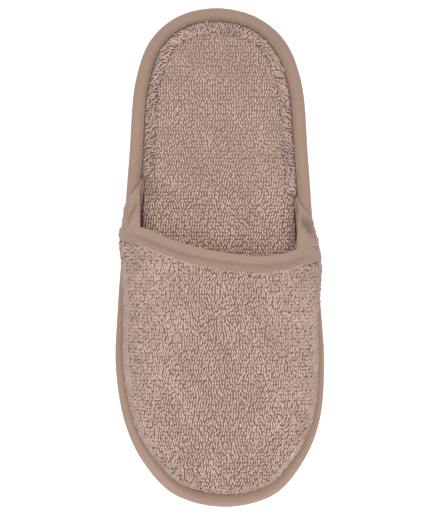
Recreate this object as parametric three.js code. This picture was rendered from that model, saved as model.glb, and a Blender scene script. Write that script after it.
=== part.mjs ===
// Bath slipper for the right foot: closed toe, open heel, towelling over wadding on a foam sole.
// Millimetres, +Z up. The toe points to -Y, the heel to +Y and the big-toe side to +X.
// The origin is on the floor, under the middle of the outline.
//
// Five pieces are sewn in one seam. The outsole and the insole lie on each other, the vamp's margin
// lies on the insole, and a folded tape closes that edge all round. A second tape folds over the
// vamp's rear edge, the throat.

import * as THREE from "three";

const { clamp, lerp, smoothstep } = THREE.MathUtils;

// Driving sizes
const LENGTH = 280; // heel to toe, over the sole tape
const BALL_WIDTH = 117; // widest place, over the sole tape
const OUTSOLE_THICK = 4; // foam sheet
const INSOLE_THICK = 6.2; // wadding and towelling in the middle of the foot bed
const INSOLE_MARGIN = 1; // the same, pressed flat under the vamp's margin
const INSOLE_ROUNDING = 9; // width over which the foot bed swells up from its seam
const VAMP_WALL = 3; // lining, wadding and towelling
const VAMP_MARGIN = 1.2; // the same, pressed flat in the sole seam
const VAMP_HEIGHT = 52; // floor to the top of the throat
const LATERAL_WING = 99; // heel to the rear end of the vamp, outer side
const MEDIAL_WING = 109; // heel to the rear end of the vamp, big-toe side
const WING_TIP_LEAN = 1.1; // how far the throat's edge leans out over the seam at those ends
const SOLE_TAPE = 1.2; // thickness of the folded tape round the sole
const SOLE_TAPE_WIDTH = 7.3; // what shows of it from above
const SOLE_TAPE_ROLL = 3.2; // depth of its rounded edge
const SOLE_TAPE_DIP = 0.4; // how far its stitched side is pulled down
const THROAT_TAPE = 1; // thickness of the tape on the throat
const THROAT_TAPE_WIDTH = 9; // each of its two sides
const WING_TAPE_WIDTH = 11.2; // the same on the wings
const THROAT_TAPE_LIFT = 0.3; // how far it stands above the towelling
const TAPE_SWELL = 3; // distance over which the vamp regains its full wall beside the tape
const GAP = 0.3; // clearance between pieces that are sewn together

// Outline of the sole: share of the length from the heel, and the reach to each side of the middle
// as a share of half the ball width. The two tips are points of their own.
const OUTLINE = [
  { along: 0.018, lateral: 0.415, medial: 0.35 },
  { along: 0.065, lateral: 0.668, medial: 0.62 },
  { along: 0.145, lateral: 0.808, medial: 0.777 },
  { along: 0.3, lateral: 0.872, medial: 0.845 },
  { along: 0.46, lateral: 0.93, medial: 0.9 },
  { along: 0.61, lateral: 0.984, medial: 0.971 },
  { along: 0.72, lateral: 1, medial: 1 },
  { along: 0.83, lateral: 0.914, medial: 0.952 },
  { along: 0.91, lateral: 0.737, medial: 0.795 },
  { along: 0.975, lateral: 0.438, medial: 0.522 },
];
const HEEL_TIP = -0.037;
const TOE_TIP = 0.046;

// The vamp's widest line, its belt, from the outer wing (0) round the toe to the inner wing (1).
// Inset is measured in from the outline as a share of the seam's inset, and is below 0 where the
// wall hangs out over the tape. Height is a share of the vamp's height.
const BELT = [
  { around: 0, inset: -0.05, height: 0.2 },
  { around: 0.04, inset: -0.15, height: 0.22 },
  { around: 0.075, inset: -0.27, height: 0.25 },
  { around: 0.11, inset: 0.08, height: 0.27 },
  { around: 0.15, inset: 0.4, height: 0.28 },
  { around: 0.2, inset: 0.57, height: 0.28 },
  { around: 0.27, inset: 0.68, height: 0.275 },
  { around: 0.34, inset: 0.77, height: 0.265 },
  { around: 0.42, inset: 0.86, height: 0.25 },
  { around: 0.5, inset: 0.93, height: 0.245 },
  { around: 0.58, inset: 0.84, height: 0.25 },
  { around: 0.66, inset: 0.69, height: 0.265 },
  { around: 0.73, inset: 0.56, height: 0.275 },
  { around: 0.8, inset: 0.46, height: 0.28 },
  { around: 0.84, inset: 0.37, height: 0.28 },
  { around: 0.88, inset: -0.07, height: 0.27 },
  { around: 0.92, inset: -0.41, height: 0.25 },
  { around: 0.96, inset: -0.28, height: 0.22 },
  { around: 1, inset: -0.1, height: 0.2 },
];

// Height of the vamp's ridge as a share of the vamp's height, and the power of its arch in height,
// which is lower where the arch has fuller shoulders.
const RIDGE = [
  { along: 0.38, height: 1.03, arch: 0.95 },
  { along: 0.5, height: 0.995, arch: 0.9 },
  { along: 0.6, height: 0.935, arch: 0.78 },
  { along: 0.72, height: 0.85, arch: 0.62 },
  { along: 0.86, height: 0.745, arch: 0.52 },
  { along: 1, height: 0.65, arch: 0.49 },
];
const ARCH_FLATNESS = 2.05; // power of the arch in plan: above 2 it is flatter on top
const TOE_CAP_START = 0.715; // share of the length where the sections start to turn round the toe

// Throat, from its outer corner (0) over the top to its inner corner (1). Swing is the share of the
// way from the middle out to the belt.
const THROAT = [
  { over: 0, swing: -0.797, along: 0.4393 },
  { over: 0.1, swing: -0.69, along: 0.4465 },
  { over: 0.25, swing: -0.46, along: 0.4655 },
  { over: 0.4, swing: -0.2, along: 0.4815 },
  { over: 0.55, swing: 0.08, along: 0.4915 },
  { over: 0.7, swing: 0.36, along: 0.497 },
  { over: 0.85, swing: 0.6, along: 0.4925 },
  { over: 1, swing: 0.757, along: 0.4832 },
];

// Wings, from their rear tips (0) to the throat's corners (1), where each value is 1. Out is how far
// the wall has swung out to its belt, lift how far the belt has risen from the seam, and fold how
// far the wing's inner edge has.
const WING = [
  { ahead: 0, out: 0.12, lift: 0.25, fold: 0.11 },
  { ahead: 0.12, out: 0.36, lift: 0.45, fold: 0.28 },
  { ahead: 0.25, out: 0.62, lift: 0.7, fold: 0.39 },
  { ahead: 0.4, out: 0.82, lift: 0.85, fold: 0.46 },
  { ahead: 0.6, out: 0.94, lift: 0.95, fold: 0.57 },
  { ahead: 0.8, out: 1, lift: 1, fold: 0.75 },
  { ahead: 1, out: 1, lift: 1, fold: 1 },
];

// Fineness of the faceted pieces
const OUTLINE_STEPS = 90;
const WING_COLUMNS = 8;
const DOME_COLUMNS = 44;
const VAMP_ROWS = 10;
const ROWS_TO_BELT = 6;
const SPOKE_STEPS = 28;
const ROLL_STEPS = 6;

// Levels of the sewn edge, from the floor up
const outsoleRebate = SOLE_TAPE + GAP;
const insoleBottom = OUTSOLE_THICK + GAP;
const insoleMarginTop = insoleBottom + INSOLE_MARGIN;
const vampMarginBottom = insoleMarginTop + GAP;
const vampMarginTop = vampMarginBottom + VAMP_MARGIN;
const tapeUnderside = vampMarginTop + GAP;
const edgeHeight = tapeUnderside + SOLE_TAPE;
const seamInset = SOLE_TAPE_WIDTH + GAP;
const seamLevel = edgeHeight - SOLE_TAPE_DIP + GAP;

// The value of a table's column at a place in its key column, on a smooth curve through the rows.
function follow(table, key, column, at) {
  const last = table.length - 1;
  let i = 0;
  while (i < last - 1 && at > table[i + 1][key]) i++;
  const slope = (a, b) => (table[b][column] - table[a][column]) / (table[b][key] - table[a][key]);
  const span = table[i + 1][key] - table[i][key];
  const share = clamp((at - table[i][key]) / span, 0, 1);
  const slopeIn = slope(Math.max(i - 1, 0), i + 1) * span;
  const slopeOut = slope(i, Math.min(i + 2, last)) * span;
  const s2 = share * share;
  const s3 = s2 * share;
  return (
    (2 * s3 - 3 * s2 + 1) * table[i][column] +
    (s3 - 2 * s2 + share) * slopeIn +
    (3 * s2 - 2 * s3) * table[i + 1][column] +
    (s3 - s2) * slopeOut
  );
}

const stationY = (along) => LENGTH * (0.5 - along);

// Closed outline, from the heel tip down the outer side, round the toe and up the inner side.
function outlineCurve() {
  const half = BALL_WIDTH / 2;
  const side = (name, sign) =>
    OUTLINE.map((row) => new THREE.Vector3(sign * row[name] * half, stationY(row.along), 0));
  const points = [
    new THREE.Vector3(HEEL_TIP * half, stationY(0), 0),
    ...side("lateral", -1),
    new THREE.Vector3(TOE_TIP * half, stationY(1), 0),
    ...side("medial", 1).reverse(),
  ];
  const curve = new THREE.CatmullRomCurve3(points, true, "centripetal");
  curve.arcLengthDivisions = 1200;
  return curve;
}
const outline = outlineCurve();

// A point at a share of the way round the outline, moved in by an inset.
function onOutline(share, inset, z) {
  const wrapped = ((share % 1) + 1) % 1;
  const point = outline.getPointAt(wrapped);
  const tangent = outline.getTangentAt(wrapped);
  return new THREE.Vector3(point.x - tangent.y * inset, point.y + tangent.x * inset, z);
}

// The place between two others at which a condition stops to hold.
function lastPlace(low, high, holds) {
  for (let i = 0; i < 40; i++) {
    const middle = (low + high) / 2;
    if (holds(middle)) low = middle;
    else high = middle;
  }
  return (low + high) / 2;
}

// The shares of the outline at which the vamp's seam starts and ends.
const outlineY = (share) => outline.getPointAt(share).y;
const lateralTip = lastPlace(0.02, 0.48, (s) => outlineY(s) > stationY(LATERAL_WING / LENGTH));
const medialTip = lastPlace(0.52, 0.98, (s) => outlineY(s) < stationY(MEDIAL_WING / LENGTH));
const seamShare = (around) => lerp(lateralTip, medialTip, around);

// The wall below the belt, from the seam (0) to the belt (1). On the wings it has swung out and
// risen less.
function wallPoint(around, rise, out = 1, lift = 1) {
  const belt = lerp(seamInset, follow(BELT, "around", "inset", around) * seamInset, out);
  const top = lerp(seamLevel, follow(BELT, "around", "height", around) * VAMP_HEIGHT, lift);
  const inset = belt + (seamInset - belt) * (1 - rise) ** 2;
  return onOutline(seamShare(around), inset, lerp(seamLevel, top, rise));
}

// The belt as a dense line, which the dome reads its width and foot from.
const BELT_STEPS = 400;
const CAP_OVERLAP = 2; // how far each part of the belt runs past the cap's start
const beltLine = Array.from({ length: BELT_STEPS + 1 }, (_, i) => wallPoint(i / BELT_STEPS, 1));
const toeCapY = stationY(TOE_CAP_START);
const lateralBelt = beltLine.filter((p, i) => i < BELT_STEPS / 2 && p.y >= toeCapY - CAP_OVERLAP);
const medialBelt = beltLine.filter((p, i) => i > BELT_STEPS / 2 && p.y >= toeCapY - CAP_OVERLAP).reverse();

// The point of a line whose key is nearest, between the two entries that it lies between.
function between(line, keyOf, at) {
  let low = 0;
  let high = line.length - 1;
  const rising = keyOf(line[high]) > keyOf(line[low]);
  while (high - low > 1) {
    const middle = (low + high) >> 1;
    if (keyOf(line[middle]) < at === rising) low = middle;
    else high = middle;
  }
  const share = (at - keyOf(line[low])) / (keyOf(line[high]) - keyOf(line[low]));
  return line[low].clone().lerp(line[high], share);
}

const sectionAt = (y) => {
  const lateral = between(lateralBelt, (p) => p.y, y);
  const medial = between(medialBelt, (p) => p.y, y);
  return { lateral, medial, middle: (lateral.x + medial.x) / 2 };
};
const toeCentre = { x: sectionAt(toeCapY).middle, y: toeCapY };
const angleOf = (p) => Math.atan2(p.x - toeCentre.x, toeCentre.y - p.y);
const toeBelt = beltLine.filter((p) => p.y <= toeCapY + CAP_OVERLAP);

// How far out a plan point lies between the ridge (0) and the belt (1), and the belt's height there.
function reachOf(x, y) {
  if (y >= toeCapY) {
    const section = sectionAt(y);
    const side = x < section.middle ? section.lateral : section.medial;
    return { reach: (x - section.middle) / (side.x - section.middle), foot: side.z };
  }
  const edge = between(toeBelt, angleOf, angleOf({ x, y }));
  const distance = Math.hypot(x - toeCentre.x, y - toeCentre.y);
  return {
    reach: distance / Math.hypot(edge.x - toeCentre.x, edge.y - toeCentre.y),
    foot: edge.z,
  };
}

function domePoint(x, y) {
  const { reach, foot } = reachOf(x, y);
  const along = 0.5 - y / LENGTH;
  const ridge = follow(RIDGE, "along", "height", along) * VAMP_HEIGHT;
  const arch = 1 - Math.min(Math.abs(reach), 1) ** ARCH_FLATNESS;
  return new THREE.Vector3(x, y, foot + (ridge - foot) * arch ** follow(RIDGE, "along", "arch", along));
}

// The throat's plan point, from its outer corner (0) to its inner one (1).
function throatPlan(over) {
  const y = stationY(follow(THROAT, "over", "along", over));
  const section = sectionAt(y);
  const swing = follow(THROAT, "over", "swing", over);
  const side = swing < 0 ? section.lateral : section.medial;
  return { x: section.middle + Math.abs(swing) * (side.x - section.middle), y };
}

// The places round the seam from which the lines run up to the throat's corners.
const beltY = (around) => wallPoint(around, 1).y;
const lateralCorner = lastPlace(0, 0.5, (a) => beltY(a) > stationY(THROAT[0].along));
const medialCorner = lastPlace(0.5, 1, (a) => beltY(a) < stationY(THROAT.at(-1).along));

// The two wings: the place of each at the throat's corner, its row in the throat, and its tip.
const tipPlace = (share) => onOutline(share, seamInset - WING_TIP_LEAN, 0);
const lateralWing = { corner: THROAT[0], over: 0, tip: tipPlace(lateralTip) };
const medialWing = { corner: THROAT.at(-1), over: 1, tip: tipPlace(medialTip) };

// The upper side of a wing, as a line from its belt in to its edge.
function wingLine({ corner, over, tip }, belt, ahead) {
  const place = throatPlan(over);
  const edgeLevel = lerp(seamLevel, domePoint(place.x, place.y).z, follow(WING, "ahead", "fold", ahead));
  const swing = Math.abs(corner.swing);
  const power = follow(RIDGE, "along", "arch", corner.along);
  return (drawn) => {
    const arch = (1 - (1 - (1 - swing) * drawn) ** ARCH_FLATNESS) / (1 - swing ** ARCH_FLATNESS);
    return new THREE.Vector3(
      lerp(belt.x, lerp(tip.x, place.x, ahead), drawn),
      lerp(belt.y, lerp(tip.y, place.y, ahead), drawn),
      belt.z + (edgeLevel - belt.z) * arch ** power,
    );
  };
}

// The upper side of the dome, as a line from its belt to the throat.
function domeLine(around, belt) {
  const edge = throatPlan((around - lateralCorner) / (medialCorner - lateralCorner));
  return (drawn) => domePoint(lerp(belt.x, edge.x, drawn), lerp(belt.y, edge.y, drawn));
}

// A line over the vamp from the throat down to the seam. It goes down to the belt and then in.
function spokeLine(around) {
  const ahead = Math.min(around / lateralCorner, (1 - around) / (1 - medialCorner), 1);
  const [out, lift] = ["out", "lift"].map((column) => follow(WING, "ahead", column, ahead));
  const line = [];
  for (let i = 0; i <= SPOKE_STEPS; i++) line.push(wallPoint(around, i / SPOKE_STEPS, out, lift));
  const belt = line[SPOKE_STEPS];
  const wing = around < 0.5 ? lateralWing : medialWing;
  const upper = ahead < 1 ? wingLine(wing, belt, ahead) : domeLine(around, belt);
  for (let i = 1; i <= SPOKE_STEPS; i++) {
    const share = i / SPOKE_STEPS;
    line.push(upper(share * (2 - share)));
  }
  return line.reverse();
}

const spokes = new Map();
function spokeAt(around) {
  if (!spokes.has(around)) {
    const line = spokeLine(around);
    const lengths = [0];
    for (let i = 1; i < line.length; i++) lengths.push(lengths[i - 1] + line[i].distanceTo(line[i - 1]));
    spokes.set(around, { line, lengths, belt: lengths[SPOKE_STEPS], length: lengths.at(-1) });
  }
  return spokes.get(around);
}

// A point of the vamp's form, at a distance from the throat down the spoke.
function formPoint(around, distance) {
  const { line, lengths } = spokeAt(around);
  let i = 1;
  while (i < line.length - 1 && lengths[i] < distance) i++;
  const share = (distance - lengths[i - 1]) / (lengths[i] - lengths[i - 1]);
  return line[i - 1].clone().lerp(line[i], share);
}

const NORMAL_STEP = 0.004; // share of the seam
const NORMAL_REACH = 1.2; // along the spoke
function formNormal(around, distance) {
  const before = clamp(around - NORMAL_STEP, 0, 1);
  const after = clamp(around + NORMAL_STEP, 0, 1);
  const across = formPoint(after, distance).sub(formPoint(before, distance));
  const down = formPoint(around, distance + NORMAL_REACH).sub(
    formPoint(around, Math.max(distance - NORMAL_REACH, 0)),
  );
  return down.cross(across).normalize();
}

// How much a place round the seam belongs to a wing: 1 on the wings and 0 on the dome.
const WING_REACH = 20; // length of the change along the seam, from the corners forward
function wingShare(around) {
  const reach = WING_REACH / ((medialTip - lateralTip) * outline.getLength());
  return (
    1 -
    smoothstep(around, 0.8 * lateralCorner, lateralCorner + reach) +
    smoothstep(around, medialCorner - reach, lerp(1, medialCorner, 0.8))
  );
}

// The way into the wall. It is square to the form, but level on the wings' belt and below it,
// because their fold there is too tight for the wall.
const LEVEL_REACH = 5.5; // distance over which it becomes level above the belt
function intoWall(around, distance) {
  const { belt } = spokeAt(around);
  const level = wingShare(around) * smoothstep(distance, belt - LEVEL_REACH, belt);
  const share = seamShare(around);
  const inward = onOutline(share, 1, 0).sub(onOutline(share, 0, 0));
  return formNormal(around, distance).negate().lerp(inward, level).normalize();
}

// A point under the vamp's form, by a depth measured into the wall.
function underForm(around, distance, depth) {
  return formPoint(around, distance).addScaledVector(intoWall(around, distance), depth);
}

// How squarely a line leaves the throat: 1 where it is at right angles to it.
const SLANT_REACH = 4; // distance down the line over which that is read
const slants = new Map();
function slantAt(around) {
  if (!slants.has(around)) {
    const before = formPoint(Math.max(around - NORMAL_STEP, 0), 0);
    const edge = formPoint(Math.min(around + NORMAL_STEP, 1), 0).sub(before).normalize();
    const down = formPoint(around, SLANT_REACH).sub(formPoint(around, 0)).normalize();
    slants.set(around, Math.max(edge.cross(down).length(), 0.5));
  }
  return slants.get(around);
}

// A mesh geometry from points and faces, with the faces pointing outwards.
function closedGeometry(points, faces) {
  let volume = 0;
  for (const [a, b, c] of faces) volume += points[a].dot(points[b].clone().cross(points[c]));
  const index = faces.flatMap(([a, b, c]) => (volume < 0 ? [a, c, b] : [a, b, c]));
  const geometry = new THREE.BufferGeometry().setFromPoints(points);
  geometry.setIndex(index);
  geometry.computeVertexNormals();
  return geometry;
}

// A wall swept through sections. A section has two paths of as many points, the outer and the inner
// face. A ring joins its last section to its first, and any other sweep has its two ends closed.
function sweptWall(sections, ring) {
  const count = sections[0].outer.length;
  const size = 2 * count;
  const points = sections.flatMap(({ outer, inner }) => [...outer, ...[...inner].reverse()]);
  const faces = [];
  const bands = ring ? sections.length : sections.length - 1;
  for (let i = 0; i < bands; i++) {
    const here = i * size;
    const next = ((i + 1) % sections.length) * size;
    for (let j = 0; j < size; j++) {
      const k = (j + 1) % size;
      faces.push([here + j, here + k, next + k], [here + j, next + k, next + j]);
    }
  }
  if (!ring) {
    for (const [start, flip] of [[0, true], [bands * size, false]]) {
      for (let j = 0; j < count - 1; j++) {
        const [a, b] = [start + j, start + j + 1];
        const [c, d] = [start + size - 2 - j, start + size - 1 - j];
        faces.push(flip ? [a, c, b] : [a, b, c], flip ? [a, d, c] : [a, c, d]);
      }
    }
  }
  return closedGeometry(points, faces);
}

// A slab through rings of the outline from its underside to its top. A level gives its inset and
// height at a share of the outline.
function slab(levels) {
  const points = [];
  const faces = [];
  for (const level of levels) {
    for (let i = 0; i < OUTLINE_STEPS; i++) {
      const { inset, z } = level(i / OUTLINE_STEPS);
      points.push(onOutline(i / OUTLINE_STEPS, inset, z));
    }
  }
  for (let k = 0; k < levels.length - 1; k++) {
    for (let i = 0; i < OUTLINE_STEPS; i++) {
      const [a, b] = [k * OUTLINE_STEPS + i, k * OUTLINE_STEPS + ((i + 1) % OUTLINE_STEPS)];
      faces.push([a, b, b + OUTLINE_STEPS], [a, b + OUTLINE_STEPS, a + OUTLINE_STEPS]);
    }
  }
  for (const [start, top] of [[0, false], [(levels.length - 1) * OUTLINE_STEPS, true]]) {
    const flat = points.slice(start, start + OUTLINE_STEPS).map((p) => new THREE.Vector2(p.x, p.y));
    for (const [a, b, c] of THREE.ShapeUtils.triangulateShape(flat, [])) {
      faces.push(top ? [start + a, start + b, start + c] : [start + a, start + c, start + b]);
    }
  }
  return closedGeometry(points, faces);
}

// Foam sheet, cut back under its edge so that the tape lies level with it on the floor.
function outsole() {
  const level = (inset, z) => () => ({ inset, z });
  return slab([
    level(seamInset, 0),
    level(seamInset, outsoleRebate),
    level(SOLE_TAPE_ROLL, outsoleRebate),
    level(SOLE_TAPE_ROLL, OUTSOLE_THICK),
  ]);
}

// How much of the vamp lies over the insole's margin: 0 round the heel and 1 from the wings forward.
const WING_LEAD = 8; // length of the change, behind the vamp's rear ends
function vampCover(share) {
  const side = share < 0.5 ? LATERAL_WING : MEDIAL_WING;
  const fromHeel = LENGTH / 2 - onOutline(share, 0, 0).y;
  return smoothstep(fromHeel, side - WING_LEAD, side - WING_LEAD / 4);
}

// Padded foot bed with a thin margin in the seam. Behind the vamp it swells up beside the tape, and
// under the vamp beside the vamp's wall.
function insole() {
  const swell = [
    { share: 0, rise: 0 },
    { share: 0.04, rise: 0.42 },
    { share: 0.2, rise: 0.76 },
    { share: 0.5, rise: 0.93 },
    { share: 1, rise: 1 },
  ];
  const CROWN_INSET = 18; // where the last slow rise to the middle ends
  const crown = 0.94; // share of the rise that the rounding reaches
  const marginTop = (share) =>
    lerp(vampMarginTop, insoleMarginTop, vampCover(share));
  const start = (share) => seamInset + vampCover(share) * (VAMP_WALL + GAP);
  const top = insoleBottom + INSOLE_THICK;
  return slab([
    () => ({ inset: SOLE_TAPE_ROLL, z: insoleBottom }),
    (share) => ({ inset: SOLE_TAPE_ROLL, z: marginTop(share) }),
    ...swell.map((row) => (share) => ({
      inset: start(share) + row.share * INSOLE_ROUNDING,
      z: lerp(marginTop(share), top, row.rise * crown),
    })),
    (share) => ({ inset: start(share) + CROWN_INSET, z: top }),
  ]);
}

// Folded tape round the sole: an open C with a rounded outer edge.
function soleTape() {
  const middle = edgeHeight / 2;
  const path = (depth, dip) => {
    const turn = [];
    for (let i = 0; i <= ROLL_STEPS; i++) {
      const angle = Math.PI * (i / ROLL_STEPS - 0.5);
      turn.push({
        inset: depth + (SOLE_TAPE_ROLL - depth) * (1 - Math.cos(angle)),
        z: middle + (middle - depth) * Math.sin(angle),
      });
    }
    return [
      { inset: SOLE_TAPE_WIDTH, z: depth },
      ...turn,
      { inset: SOLE_TAPE_WIDTH, z: edgeHeight - depth - dip },
    ];
  };
  const sections = [];
  for (let i = 0; i < OUTLINE_STEPS; i++) {
    const place = (p) => onOutline(i / OUTLINE_STEPS, p.inset, p.z);
    sections.push({ outer: path(0, SOLE_TAPE_DIP).map(place), inner: path(SOLE_TAPE, 0).map(place) });
  }
  return sweptWall(sections, true);
}

// Places round the seam at which the vamp and its tape have a section.
function columns() {
  const list = [];
  for (let i = 0; i < WING_COLUMNS; i++) list.push((lateralCorner * i) / WING_COLUMNS);
  for (let i = 0; i <= DOME_COLUMNS; i++) {
    list.push(lerp(lateralCorner, medialCorner, i / DOME_COLUMNS));
  }
  for (let i = 1; i <= WING_COLUMNS; i++) {
    list.push(lerp(medialCorner, 1, i / WING_COLUMNS));
  }
  return list;
}

// Depths of the vamp's two faces under its form. Beside the throat it is pressed by the tape.
const tapeSeat = THROAT_TAPE + GAP - THROAT_TAPE_LIFT;
const hemSeat = VAMP_WALL - tapeSeat;
const TAPE_ROOT = THROAT_TAPE + GAP; // from the fold of the throat tape to the vamp's edge
const TAPE_ROWS = [0, 0.32, 0.66, 1]; // shares of the tape's side that have a row of points
function faceDepths(around, fromThroat) {
  const start = tapeWidth(around) + GAP;
  const swell = smoothstep(fromThroat, start, start + TAPE_SWELL);
  return {
    outer: lerp(tapeSeat, 0, swell),
    inner: lerp(hemSeat, VAMP_WALL, swell),
  };
}

// Distances down a line at which the tape and the vamp under it have their points. The tape's side
// is shortened where the wall is low, and stops at the belt of a wing.
const SEAM_CLEARANCE = 1.2; // between the throat tape and the sole seam
const tapeWidth = (around) => lerp(THROAT_TAPE_WIDTH, WING_TAPE_WIDTH, wingShare(around));
function tapeDistances(around) {
  const { belt, length } = spokeAt(around);
  const root = TAPE_ROOT / slantAt(around);
  const end = Math.min(tapeWidth(around) / slantAt(around), belt, length - SEAM_CLEARANCE);
  return TAPE_ROWS.map((share) => root + (end - root) * share);
}

// Hollow vamp, open at the throat and underneath, with its margin turned out into the seam.
function vamp() {
  const sections = columns().map((around) => {
    const { belt, length } = spokeAt(around);
    const slant = slantAt(around);
    const distances = tapeDistances(around);
    const end = distances.at(-1);
    const swollen = Math.min(end + (GAP + TAPE_SWELL) / slant, (end + length) / 2);
    distances.push(swollen);
    // A row lies on the belt, unless the tape's swell runs over it.
    const above = belt > swollen + 1 ? ROWS_TO_BELT : 0;
    const below = VAMP_ROWS - above;
    for (let i = 1; i <= above; i++) distances.push(lerp(belt, swollen, (1 - i / above) ** 1.4));
    for (let i = 1; i <= below; i++) distances.push(lerp(Math.max(belt, swollen), length, i / below));
    const face = (side) => distances.map((d) => underForm(around, d, faceDepths(around, d * slant)[side]));
    const outer = face("outer");
    const inner = face("inner");
    // The wall's foot stands upright behind the sole tape, above the margin.
    const foot = faceDepths(around, length * slant);
    const share = seamShare(around);
    outer[outer.length - 1] = onOutline(share, seamInset + foot.outer, seamLevel);
    inner[inner.length - 1] = onOutline(share, seamInset + foot.inner, seamLevel);
    outer.push(onOutline(share, seamInset + foot.outer, vampMarginTop));
    inner.push(onOutline(share, seamInset + foot.inner, vampMarginBottom));
    outer.push(onOutline(share, SOLE_TAPE_ROLL, vampMarginTop));
    inner.push(onOutline(share, SOLE_TAPE_ROLL, vampMarginBottom));
    return { outer, inner };
  });
  return sweptWall(sections, false);
}

// Tape folded over the throat: a U whose legs lie on the vamp's two faces, from wing to wing.
function throatTape() {
  const top = -THROAT_TAPE_LIFT;
  const bottom = VAMP_WALL + THROAT_TAPE_LIFT;
  const middle = (top + bottom) / 2;
  const sections = columns().map((around) => {
    const slant = slantAt(around);
    const leg = (depth) => tapeDistances(around).map((distance) => [distance, depth]);
    const path = (depth, fold) => [
      ...leg(top + depth).reverse(),
      ...fold.map(([distance, level]) => [distance / slant, level]),
      ...leg(bottom - depth),
    ];
    const round = 0.35;
    const inside = THROAT_TAPE + GAP / 3;
    const place = ([distance, depth]) => underForm(around, distance, depth);
    return {
      outer: path(0, [[round, top + round], [0, middle], [round, bottom - round]]).map(place),
      inner: path(THROAT_TAPE, [
        [inside, top + THROAT_TAPE],
        [THROAT_TAPE, middle],
        [inside, bottom - THROAT_TAPE],
      ]).map(place),
    };
  });
  return sweptWall(sections, false);
}

const towelling = new THREE.MeshStandardMaterial({ color: 0xb59a8a, roughness: 1, metalness: 0 });
const tapeCloth = new THREE.MeshStandardMaterial({ color: 0xab9080, roughness: 0.85, metalness: 0 });
const soleFoam = new THREE.MeshStandardMaterial({ color: 0xa88e7e, roughness: 0.8, metalness: 0 });

const slipper = new THREE.Group();
for (const [name, geometry, material] of [
  ["outsole", outsole(), soleFoam],
  ["insole", insole(), towelling],
  ["sole_tape", soleTape(), tapeCloth],
  ["vamp", vamp(), towelling],
  ["throat_tape", throatTape(), tapeCloth],
]) {
  const mesh = new THREE.Mesh(geometry, material);
  mesh.name = name;
  slipper.add(mesh);
}

export default slipper;
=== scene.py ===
import math

import bpy
import numpy as np
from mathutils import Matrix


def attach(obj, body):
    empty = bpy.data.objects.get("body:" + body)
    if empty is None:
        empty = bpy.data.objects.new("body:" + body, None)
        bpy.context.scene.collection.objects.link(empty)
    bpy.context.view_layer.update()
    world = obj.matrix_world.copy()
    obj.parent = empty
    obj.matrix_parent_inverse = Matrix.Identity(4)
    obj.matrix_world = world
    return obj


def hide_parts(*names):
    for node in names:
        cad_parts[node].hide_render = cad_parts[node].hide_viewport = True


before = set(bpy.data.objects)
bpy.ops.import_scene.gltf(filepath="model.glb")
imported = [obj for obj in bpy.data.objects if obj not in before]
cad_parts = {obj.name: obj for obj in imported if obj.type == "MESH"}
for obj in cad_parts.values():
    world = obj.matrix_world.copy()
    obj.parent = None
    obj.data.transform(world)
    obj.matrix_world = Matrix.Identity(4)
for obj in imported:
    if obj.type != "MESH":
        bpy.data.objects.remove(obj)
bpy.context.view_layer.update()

# Sizes of the slipper in millimetres, the same as the part's. Its finished pieces are in metres.
shoe = dict(
    length=280, ballWidth=117, outsoleThick=4, insoleThick=6.2, insoleMargin=1, rounding=9,
    vampWall=3, vampMargin=1.2, vampHeight=52, lateralWing=99,
    medialWing=109, wingTipLean=1.1, soleTape=1.2, soleTapeWidth=7.3, soleTapeRoll=3.2, throatTape=1,
    throatTapeWidth=9, wingTapeWidth=11.2, throatTapeLift=0.3, gap=0.3,
)
outlineTable = np.array([
    (0.018, 0.415, 0.35), (0.065, 0.668, 0.62), (0.145, 0.808, 0.777), (0.3, 0.872, 0.845),
    (0.46, 0.93, 0.9), (0.61, 0.984, 0.971), (0.72, 1, 1), (0.83, 0.914, 0.952),
    (0.91, 0.737, 0.795), (0.975, 0.438, 0.522),
])
heelTip, toeTip = -0.037, 0.046
beltTable = np.array([
    (0, -0.05, 0.2), (0.04, -0.15, 0.22), (0.075, -0.27, 0.25), (0.11, 0.08, 0.27),
    (0.15, 0.4, 0.28), (0.2, 0.57, 0.28), (0.27, 0.68, 0.275), (0.34, 0.77, 0.265),
    (0.42, 0.86, 0.25), (0.5, 0.93, 0.245), (0.58, 0.84, 0.25), (0.66, 0.69, 0.265),
    (0.73, 0.56, 0.275), (0.8, 0.46, 0.28), (0.84, 0.37, 0.28), (0.88, -0.07, 0.27),
    (0.92, -0.41, 0.25), (0.96, -0.28, 0.22), (1, -0.1, 0.2),
])
ridgeTable = np.array([
    (0.38, 1.03, 0.95), (0.5, 0.995, 0.9), (0.6, 0.935, 0.78), (0.72, 0.85, 0.62),
    (0.86, 0.745, 0.52), (1, 0.65, 0.49),
])
throatTable = np.array([
    (0, -0.797, 0.4393), (0.1, -0.69, 0.4465), (0.25, -0.46, 0.4655), (0.4, -0.2, 0.4815),
    (0.55, 0.08, 0.4915), (0.7, 0.36, 0.497), (0.85, 0.6, 0.4925), (1, 0.757, 0.4832),
])
wingTable = np.array([
    (0, 0.12, 0.25, 0.11), (0.12, 0.36, 0.45, 0.28), (0.25, 0.62, 0.7, 0.39), (0.4, 0.82, 0.85, 0.46),
    (0.6, 0.94, 0.95, 0.57), (0.8, 1, 1, 0.75), (1, 1, 1, 1),
])
domeFlatness, toeCapStart = 2.05, 0.715

insoleBottom = shoe["outsoleThick"] + shoe["gap"]
insoleMarginTop = insoleBottom + shoe["insoleMargin"]
vampMarginBottom = insoleMarginTop + shoe["gap"]
vampMarginTop = vampMarginBottom + shoe["vampMargin"]
edgeHeight = vampMarginTop + shoe["gap"] + shoe["soleTape"]
seamInset = shoe["soleTapeWidth"] + shoe["gap"]
seamLevel = edgeHeight - 0.4 + shoe["gap"]


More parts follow.
